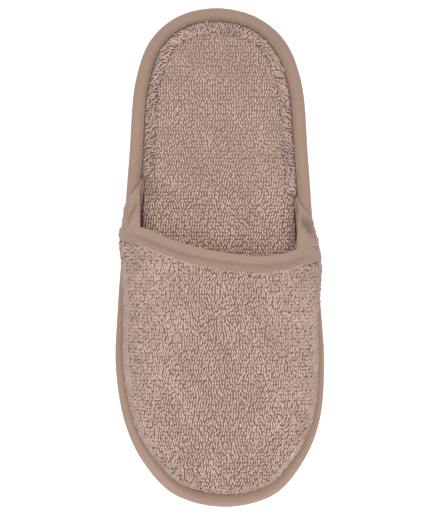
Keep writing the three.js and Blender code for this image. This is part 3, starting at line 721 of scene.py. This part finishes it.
# Tree that sets a loop of yarn on each point. Sizes are in metres.
def pileTree():
    tree = bpy.data.node_groups.new("pileTree", "GeometryNodeTree")
    tree.interface.new_socket("Points", in_out="INPUT", socket_type="NodeSocketGeometry")
    for label in ("Loop Length", "Loop Height", "Loop Foot", "Yarn Radius", "Yaw Spread", "Tilt Spread", "Size Spread", "Tone Spread"):
        tree.interface.new_socket(label, in_out="INPUT", socket_type="NodeSocketFloat")
    tree.interface.new_socket("Sides", in_out="INPUT", socket_type="NodeSocketInt")
    tree.interface.new_socket("Steps", in_out="INPUT", socket_type="NodeSocketInt")
    tree.interface.new_socket("Seed", in_out="INPUT", socket_type="NodeSocketInt")
    tree.interface.new_socket("Material", in_out="INPUT", socket_type="NodeSocketMaterial")
    tree.interface.new_socket("Pile", in_out="OUTPUT", socket_type="NodeSocketGeometry")
    source = addNode(tree, "NodeGroupInput").outputs
    link = tree.links.new

    def maths(operation, a, b=None):
        node = addNode(tree, "ShaderNodeMath", operation=operation)
        for k, value in enumerate((a, b)):
            if isinstance(value, (int, float)):
                node.inputs[k].default_value = value
            elif value is not None:
                link(value, node.inputs[k])
        return node.outputs[0]

    def vector(x, y, z):
        node = addNode(tree, "ShaderNodeCombineXYZ")
        for k, value in enumerate((x, y, z)):
            if isinstance(value, (int, float)):
                node.inputs[k].default_value = value
            else:
                link(value, node.inputs[k])
        return node.outputs[0]

    def chance(kind, low, high, offset):
        node = addNode(tree, "FunctionNodeRandomValue", data_type=kind)
        first = {"FLOAT": 2, "FLOAT_VECTOR": 0}[kind]
        for k, value in ((first, low), (first + 1, high)):
            if isinstance(value, (int, float)):
                node.inputs[k].default_value = value
            else:
                link(value, node.inputs[k])
        link(maths("ADD", source["Seed"], offset), node.inputs["Seed"])
        return node.outputs[0 if kind == "FLOAT_VECTOR" else 1]

    half = maths("MULTIPLY", source["Loop Length"], 0.5)
    foot = maths("MULTIPLY", source["Loop Foot"], -1)
    shoulder = maths("MULTIPLY", source["Loop Height"], 1.45)
    whole = maths("ADD", source["Loop Height"], source["Loop Foot"])
    shapes = addNode(tree, "GeometryNodeGeometryToInstance")
    for bend in (-0.16, 0.05, 0.2):
        side = maths("MULTIPLY", source["Loop Length"], bend)
        arch = addNode(tree, "GeometryNodeCurvePrimitiveBezierSegment")
        link(source["Steps"], arch.inputs["Resolution"])
        link(vector(maths("MULTIPLY", half, -0.72), 0, foot), arch.inputs["Start"])
        link(vector(maths("MULTIPLY", half, -1.05), side, shoulder), arch.inputs["Start Handle"])
        link(vector(maths("MULTIPLY", half, 1.05), maths("MULTIPLY", side, -0.6), shoulder), arch.inputs["End Handle"])
        link(vector(maths("MULTIPLY", half, 0.72), 0, foot), arch.inputs["End"])
        ringShape = addNode(tree, "GeometryNodeCurvePrimitiveCircle")
        link(source["Sides"], ringShape.inputs["Resolution"])
        link(source["Yarn Radius"], ringShape.inputs["Radius"])
        tube = addNode(tree, "GeometryNodeCurveToMesh")
        link(arch.outputs[0], tube.inputs["Curve"])
        link(ringShape.outputs[0], tube.inputs["Profile Curve"])
        depth = addNode(tree, "ShaderNodeSeparateXYZ")
        link(addNode(tree, "GeometryNodeInputPosition").outputs[0], depth.inputs[0])
        rise = addNode(tree, "GeometryNodeStoreNamedAttribute", {"Name": "rise"}, data_type="FLOAT", domain="POINT")
        link(tube.outputs[0], rise.inputs["Geometry"])
        link(maths("DIVIDE", maths("ADD", depth.outputs["Z"], source["Loop Foot"]), whole), rise.inputs["Value"])
        link(rise.outputs[0], shapes.inputs[0])

    up = addNode(tree, "GeometryNodeInputNamedAttribute", {"Name": "up"}, data_type="FLOAT_VECTOR")
    lay = addNode(tree, "GeometryNodeInputNamedAttribute", {"Name": "lay"}, data_type="FLOAT_VECTOR")
    grow = addNode(tree, "GeometryNodeInputNamedAttribute", {"Name": "grow"}, data_type="FLOAT_VECTOR")
    stand = addNode(tree, "FunctionNodeAlignRotationToVector", axis="Z")
    link(up.outputs[0], stand.inputs["Vector"])
    turn = addNode(tree, "FunctionNodeAlignRotationToVector", axis="X", pivot_axis="Z")
    link(stand.outputs[0], turn.inputs["Rotation"])
    link(lay.outputs[0], turn.inputs["Vector"])
    spin = addNode(tree, "FunctionNodeRotateRotation", rotation_space="LOCAL")
    link(turn.outputs[0], spin.inputs[0])
    tilt = source["Tilt Spread"]
    back = maths("MULTIPLY", tilt, -1)
    yawBack = maths("MULTIPLY", source["Yaw Spread"], -1)
    link(chance("FLOAT_VECTOR", vector(back, back, yawBack), vector(tilt, tilt, source["Yaw Spread"]), 1), spin.inputs[1])
    small = maths("SUBTRACT", 1, source["Size Spread"])
    large = maths("ADD", 1, source["Size Spread"])
    sized = addNode(tree, "ShaderNodeVectorMath", operation="MULTIPLY")
    link(grow.outputs[0], sized.inputs[0])
    link(chance("FLOAT_VECTOR", vector(small, small, small), vector(large, large, large), 2), sized.inputs[1])
    place = addNode(tree, "GeometryNodeInstanceOnPoints")
    link(source["Points"], place.inputs["Points"])
    link(shapes.outputs[0], place.inputs["Instance"])
    place.inputs["Pick Instance"].default_value = True
    link(spin.outputs[0], place.inputs["Rotation"])
    link(sized.outputs[0], place.inputs["Scale"])
    # The patch attribute holds slow tone changes together with painted light and shade.
    patchAndShading = addNode(tree, "GeometryNodeInputNamedAttribute", {"Name": "patchAndShading"}, data_type="FLOAT")
    toneSpread = source["Tone Spread"]
    own = chance("FLOAT", maths("SUBTRACT", 1, toneSpread), maths("ADD", 1, toneSpread), 3)
    tone = addNode(tree, "GeometryNodeStoreNamedAttribute", {"Name": "tone"}, data_type="FLOAT", domain="INSTANCE")
    link(place.outputs[0], tone.inputs["Geometry"])
    link(maths("MULTIPLY", patchAndShading.outputs[0], own), tone.inputs["Value"])
    real = addNode(tree, "GeometryNodeRealizeInstances")
    link(tone.outputs[0], real.inputs[0])
    soft = addNode(tree, "GeometryNodeSetShadeSmooth")
    link(real.outputs[0], soft.inputs[0])
    cloth = addNode(tree, "GeometryNodeSetMaterial")
    link(soft.outputs[0], cloth.inputs[0])
    link(source["Material"], cloth.inputs["Material"])
    link(cloth.outputs[0], addNode(tree, "NodeGroupOutput").inputs[0])
    return tree


loopTree = pileTree()


# Loops on points, as a plain mesh. Points are in millimetres, with normals, lays and scales, and a patch tone that also
# carries painted light and shade.
def addPile(name, points, up, lay, grow, patchAndShading, settings, slot):
    mesh = bpy.data.meshes.new(name + "Seeds")
    mesh.from_pydata((points / 1000).tolist(), [], [])
    for label, values in (("up", up), ("lay", lay), ("grow", grow)):
        mesh.attributes.new(label, "FLOAT_VECTOR", "POINT").data.foreach_set("vector", np.ascontiguousarray(values, float).ravel())
    mesh.attributes.new("patchAndShading", "FLOAT", "POINT").data.foreach_set("value", np.ascontiguousarray(patchAndShading, float))
    seeds = bpy.data.objects.new(name + "Seeds", mesh)
    bpy.context.scene.collection.objects.link(seeds)
    modifier = seeds.modifiers.new("pile", "NODES")
    modifier.node_group = loopTree
    for item in loopTree.interface.items_tree:
        if item.in_out == "INPUT" and item.name in settings:
            modifier[item.identifier] = settings[item.name]
    evaluated = seeds.evaluated_get(bpy.context.evaluated_depsgraph_get())
    made = bpy.data.meshes.new_from_object(evaluated)
    made.name = name
    piece = bpy.data.objects.new(name, made)
    bpy.context.scene.collection.objects.link(piece)
    bpy.data.objects.remove(seeds)
    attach(piece, "root")
    tris = sum(len(p.vertices) - 2 for p in made.polygons)
    print(f"{name}: {len(points)} loops, {tris} triangles")
    return piece


# Where the loops of the cloth point: along the foot, with slow swirls.
def layOf(points, up, spread, seed):
    angle = spread * ripple(points[:, :2], 11, seed) + spread * 0.8 * ripple(points[:, :2], 4, seed + 1)
    along = np.stack([np.sin(angle), -np.cos(angle), np.zeros(len(angle))], -1)
    along -= up * (along * up).sum(-1, keepdims=True)
    return along / (np.linalg.norm(along, axis=1, keepdims=True) + 1e-9)


# Slow changes of tone from patch to patch.
def patchOf(points, seed, depth=0.05):
    return 1 + depth * ripple(points[:, :2], 14, seed) + depth * 0.8 * ripple(points[:, :2], 5, seed + 1)


loopSettings = {
    "Loop Length": 0.002, "Loop Height": 0.00085, "Loop Foot": 0.0007, "Yarn Radius": 0.00048,
    "Yaw Spread": 0.22, "Tilt Spread": 0.18, "Size Spread": 0.15, "Tone Spread": 0.06,
    "Sides": 4, "Steps": 5, "Seed": 11, "Material": pileCloth,
}
pitchAcross, pitchAlong, wallPitch, bedPitch, loopSink = 1.45, 1.9, 1.65, 1.45, 0.8
vampRng = np.random.default_rng(21)


# The steep walls take their loops along the spokes, and the top of the dome in rows across the foot.
def vampSeeds():
    around = np.arange(0.012, 0.988, wallPitch / seamLength)
    run = spokes(around)[1][:, -1]
    slant = slantOf(around)
    tapeStop = np.minimum(tapeWidth(around) / slant, run - 1.2) + 0.4
    ups = np.arange(1, 60, wallPitch)
    distance = run[:, None] - ups[None] - vampRng.uniform(0, 1.3, (len(around), 1))
    distance += vampRng.normal(0, 0.2, distance.shape)
    at, normal = underForm(around, np.maximum(distance, 0), 0)
    onWing = (around < lateralCross * 1.05) | (around > mix(1, medialCross, 1.05))
    steepPart = np.cumprod(normal[..., 2] < 0.55, 1).astype(bool)
    keep = (distance > tapeStop[:, None]) & (steepPart | onWing[:, None])
    walls, wallUps = at[keep], normal[keep]
    tops, topUps = [], []
    fineAround = np.linspace(0.002, 0.998, 900)
    fineStop = np.minimum(tapeWidth(fineAround) / slantOf(fineAround), spokes(fineAround)[1][:, -1] - 1.2)
    tapeLine = alongSpokes(spokes(fineAround), np.stack([fineStop, fineStop + 1], 1))
    y = stationY(0.42)
    while y > stationY(1.0):
        x = np.linspace(-62, 62, 700)
        z = domeHeight(x, np.full_like(x, y))
        run = np.concatenate([[0], np.cumsum(np.hypot(np.diff(x), np.diff(z)))])
        take = np.arange(vampRng.uniform(0, pitchAcross), run[-1], pitchAcross)
        px = np.interp(take, run, x) + vampRng.normal(0, 0.17, len(take))
        py = y + vampRng.normal(0, 0.3, len(take))
        steep = (domeHeight(px, py + 0.4) - domeHeight(px, py - 0.4)) / 0.8
        more = vampRng.uniform(size=len(take)) < (np.sqrt(1 + steep**2) - 1) * 1.3
        px = np.concatenate([px, px[more]])
        py = np.concatenate([py, py[more] - pitchAlong / 2])
        tops.append(np.stack([px, py, domeHeight(px, py)], -1))
        y -= pitchAlong
    tops = np.concatenate(tops)
    step = 0.3
    gx = (domeHeight(tops[:, 0] + step, tops[:, 1]) - domeHeight(tops[:, 0] - step, tops[:, 1])) / (2 * step)
    gy = (domeHeight(tops[:, 0], tops[:, 1] + step) - domeHeight(tops[:, 0], tops[:, 1] - step)) / (2 * step)
    topUps = np.stack([-gx, -gy, np.ones(len(gx))], -1)
    topUps /= np.linalg.norm(topUps, axis=1, keepdims=True)
    keep = (topUps[:, 2] >= 0.55) & (domeForm(tops[:, 0], tops[:, 1])[1] < 0.985)
    points, ups = np.concatenate([walls, tops[keep]]), np.concatenate([wallUps, topUps[keep]])
    lineRun = np.cumsum(np.linalg.norm(np.diff(tapeLine[:, 0], axis=0, prepend=tapeLine[:1, 0]), axis=1))
    hemAround = np.interp(np.arange(0, lineRun[-1], 1.1), lineRun, fineAround)
    hemAround = hemAround[(hemAround > lateralCross * 0.75) & (hemAround < mix(1, medialCross, 0.75))]
    hemStop = np.interp(hemAround, fineAround, fineStop)
    hemAt, hemUp = underForm(hemAround, hemStop[:, None] + 0.5, -0.3)
    ahead = np.empty(len(points))
    for start in range(0, len(points), 500):
        part = points[start:start + 500]
        near = np.linalg.norm(part[:, None] - tapeLine[None, :, 0], axis=2).argmin(1)
        ahead[start:start + 500] = ((part - tapeLine[near, 0]) * (tapeLine[near, 1] - tapeLine[near, 0])).sum(1)
    clear = ahead > mix(1.3, 0.4, wingSeedShare(points))
    hem = np.concatenate([np.zeros(clear.sum()), np.ones(len(hemAt))])
    return np.concatenate([points[clear], hemAt[:, 0]]), np.concatenate([ups[clear], hemUp[:, 0]]), hem


def wingSeedShare(points):
    corners = [float(throatPlan(c)[1]) for c in (0.0, 1.0)]
    behind = points[:, 1] - np.where(points[:, 0] < 0, corners[0], corners[1])
    return smooth(behind, -14, -2)


# Loops lean together in small tufts.
def leanUps(points, ups, amount, seed):
    sway = [ripple(points[:, :2], 3.2, seed + k) for k in (0, 1)]
    leaned = ups + amount * np.stack([*sway, np.zeros(len(points))], -1)
    return leaned / np.linalg.norm(leaned, axis=1, keepdims=True)


vampPoints, vampUps, vampHem = vampSeeds()
vampLays = layOf(vampPoints, vampUps, 0.3, 31)
vampFine = wingSeedShare(vampPoints)[:, None]
vampGrow = mix(np.array([1, 1, 1]), np.array([0.85, 0.8, 0.8]), vampFine)
vampSunk = loopSink + 0.14 * ripple(vampPoints[:, :2], 2.6, 35)[:, None] + 0.2 * vampFine
vampSunk += toeTuck(vampPoints, vampUps)
vampSunk += vampRng.normal(0, 0.22, vampSunk.shape) * smooth(1 - vampUps[:, 2:], 0.4, 0.9)
vampPoints = vampPoints - vampUps * vampSunk
vampUps = leanUps(vampPoints, vampUps, 0.16, 37)
order = np.argsort(vampPoints[:, 1])
# Painted shade darkens the loops on the steep sides; the hem row along the tape is a little darker.
vampPatchAndShading = patchOf(vampPoints, 61) - 0.24 * smooth(1 - vampUps[:, 2], 0.05, 0.6) - 0.07 * vampHem
for k, part in enumerate(np.array_split(order, 2)):
    addPile(f"vampPile{k + 1}", vampPoints[part], vampUps[part], vampLays[part], vampGrow[part],
            vampPatchAndShading[part], {**loopSettings, "Seed": 40 + k}, "towelling")


# The foot bed's loops: rows across it, and longer ones that lie out over the tape at its edge.
def nearestShare(points):
    shares = np.linspace(0, 1, 1600, endpoint=False)
    line = onOutline(shares, 0, 0)[:, :2]
    best = np.empty(len(points), int)
    far = np.empty(len(points))
    for start in range(0, len(points), 800):
        d = np.linalg.norm(points[start:start + 800, None, :2] - line[None], axis=2)
        best[start:start + 800] = d.argmin(1)
        far[start:start + 800] = d.min(1)
    return shares[best], far


def bedSeeds():
    rng = np.random.default_rng(5)
    half = shoe["ballWidth"] / 2
    rows = []
    y = stationY(0.02)
    while y > stationY(0.985):
        x = np.arange(-half, half, bedPitch) + bedPitch * (rng.normal(0, 0.3) + np.sin(y / 19))
        rows.append(np.stack([x + rng.normal(0, 0.16, len(x)), y + rng.normal(0, 0.3, len(x))], -1))
        y -= pitchAlong
    points = np.concatenate(rows)
    share, inset = nearestShare(points)
    fromEdge = inset - footBedStart(share)
    toEdge = onOutline(share, 0, 0)[:, :2] - points
    outward = onOutline(share, 0, 0)[:, :2] - onOutline(share, 5, 0)[:, :2]
    inward = (fromEdge > mix(6.4, 0.2, wallCover(share))) & ((toEdge * outward).sum(1) > 0)
    points, share, fromEdge = points[inward], share[inward], fromEdge[inward]
    step = 0.4
    z = footBedTop(share, fromEdge)
    slope = (footBedTop(share, fromEdge + step) - footBedTop(share, fromEdge - step)) / (2 * step)
    out = onOutline(share, 0, 0)[:, :2] - points
    out /= np.linalg.norm(out, axis=1, keepdims=True)
    up = np.concatenate([out * slope[:, None], np.ones((len(out), 1))], 1)
    up /= np.linalg.norm(up, axis=1, keepdims=True)
    return np.concatenate([points, z[:, None]], 1), up, share, fromEdge


bedPoints, bedUps, bedShares, bedEdges = bedSeeds()
bedLays = layOf(bedPoints, bedUps, 0.25, 51)
bedPoints = bedPoints - bedUps * (loopSink + 0.08 * ripple(bedPoints[:, :2], 2.6, 55)[:, None])
bedUps = leanUps(bedPoints, bedUps, 0.1, 57)
shown = bedPoints[:, 1] > -25
bedGrow = np.tile([0.92, 0.96, 0.86], (len(bedPoints), 1))
# Painted light brightens the loops towards the throat; painted shade darkens them towards the heel and beside the walls
# at the wings.
bedPatchAndShading = (patchOf(bedPoints, 63) + 0.28 * smooth(-bedPoints[:, 1], -55, -15)
            - 0.1 * smooth(bedPoints[:, 1], 80, 120)
            - 0.28 * wallCover(bedShares) * (1 - smooth(bedEdges, 0.5, 8)))
for label, part, steps in (("bedPile1", shown, 5), ("bedPile2", ~shown, 3)):
    addPile(label, bedPoints[part], bedUps[part], bedLays[part], bedGrow[part], bedPatchAndShading[part],
            {**loopSettings, "Seed": 60, "Steps": steps}, "towelling")


def fringeSeeds():
    rng = np.random.default_rng(8)
    made = []
    for inset, pitch in ((2.0, 1.15), (3.7, 1.2), (5.3, 1.3)):
        shares = np.arange(0, 1, pitch / outlineLength)
        shares = shares + rng.normal(0, 0.3, len(shares)) / outlineLength
        at = inset + rng.normal(0, 0.4, len(shares)) + 0.3 * ripple(onOutline(shares, 0, 0)[:, :2], 6, 9)
        points = onOutline(shares, footBedStart(shares) + at, footBedTop(shares, at) - loopSink * 0.7)
        out = onOutline(shares, 0, 0) - onOutline(shares, 5, 0)
        out /= np.linalg.norm(out, axis=1, keepdims=True)
        made.append((points, out, shares))
    points = np.concatenate([m[0] for m in made])
    out = np.concatenate([m[1] for m in made])
    shares = np.concatenate([m[2] for m in made])
    up = out * 0.3 + np.array([0, 0, 1.0])
    up /= np.linalg.norm(up, axis=1, keepdims=True)
    lay = out + np.array([0, -0.9, 0]) * np.abs(out[:, :1])
    lay -= up * (lay * up).sum(-1, keepdims=True)
    lay /= np.linalg.norm(lay, axis=1, keepdims=True)
    keep = wallCover(shares) < 0.5
    grow = np.tile([1.5, 0.66, 1.05], (len(points), 1))
    # The fringe's loops are made darker as painted shade, against the light their flat tops catch.
    return points[keep], up[keep], lay[keep], grow[keep], patchOf(points[keep], 65) - 0.12


addPile("bedFringe", *fringeSeeds(), {**loopSettings, "Yaw Spread": 0.6, "Tilt Spread": 0.25, "Tone Spread": 0.13, "Seed": 71}, "towelling")
print("loops made")

# Floor, light and camera
floorMaterial, _, floorShader = newMaterial("paleFloor", (0.93, 0.93, 0.93, 1), 0.9)
floorShader.inputs["Emission Color"].default_value = (1, 1, 1, 1)
floorShader.inputs["Emission Strength"].default_value = 0.45
bpy.ops.mesh.primitive_plane_add(size=12, location=(0, 0, -0.0002))
floor = bpy.context.object
floor.name = "studioFloor"
floor.data.materials.append(floorMaterial)

lightTable = [
    ("keyLight", (-0.35, 0.9, 1.2), 0.6, 9, (1, 0.99, 0.98)),
    ("topLight", (0.1, 0, 1.6), 1, 9, (1, 0.99, 0.98)),
    ("frontLight", (0.35, -1.1, 1.1), 0.9, 8, (1, 1, 1)),
]
for name, place, size, power, colour in lightTable:
    lamp = bpy.data.lights.new(name, "AREA")
    lamp.size, lamp.energy, lamp.color = size, power, colour
    light = bpy.data.objects.new(name, lamp)
    light.location = place
    bpy.context.scene.collection.objects.link(light)
    light.rotation_mode = "QUATERNION"
    light.rotation_quaternion = light.location.to_track_quat("Z", "Y")

world = bpy.data.worlds.new("studio")
world.use_nodes = True
world.node_tree.nodes["Background"].inputs["Color"].default_value = (1, 1, 1, 1)
world.node_tree.nodes["Background"].inputs["Strength"].default_value = 0.45
bpy.context.scene.world = world
bpy.context.scene.view_settings.view_transform = "Standard"

camera = bpy.data.objects.new("camera", bpy.data.cameras.new("camera"))
bpy.context.scene.collection.objects.link(camera)
camera.data.lens = 200
camera.data.sensor_width = 36
camera.location = (0, 0, 1.61)
bpy.context.scene.camera = camera
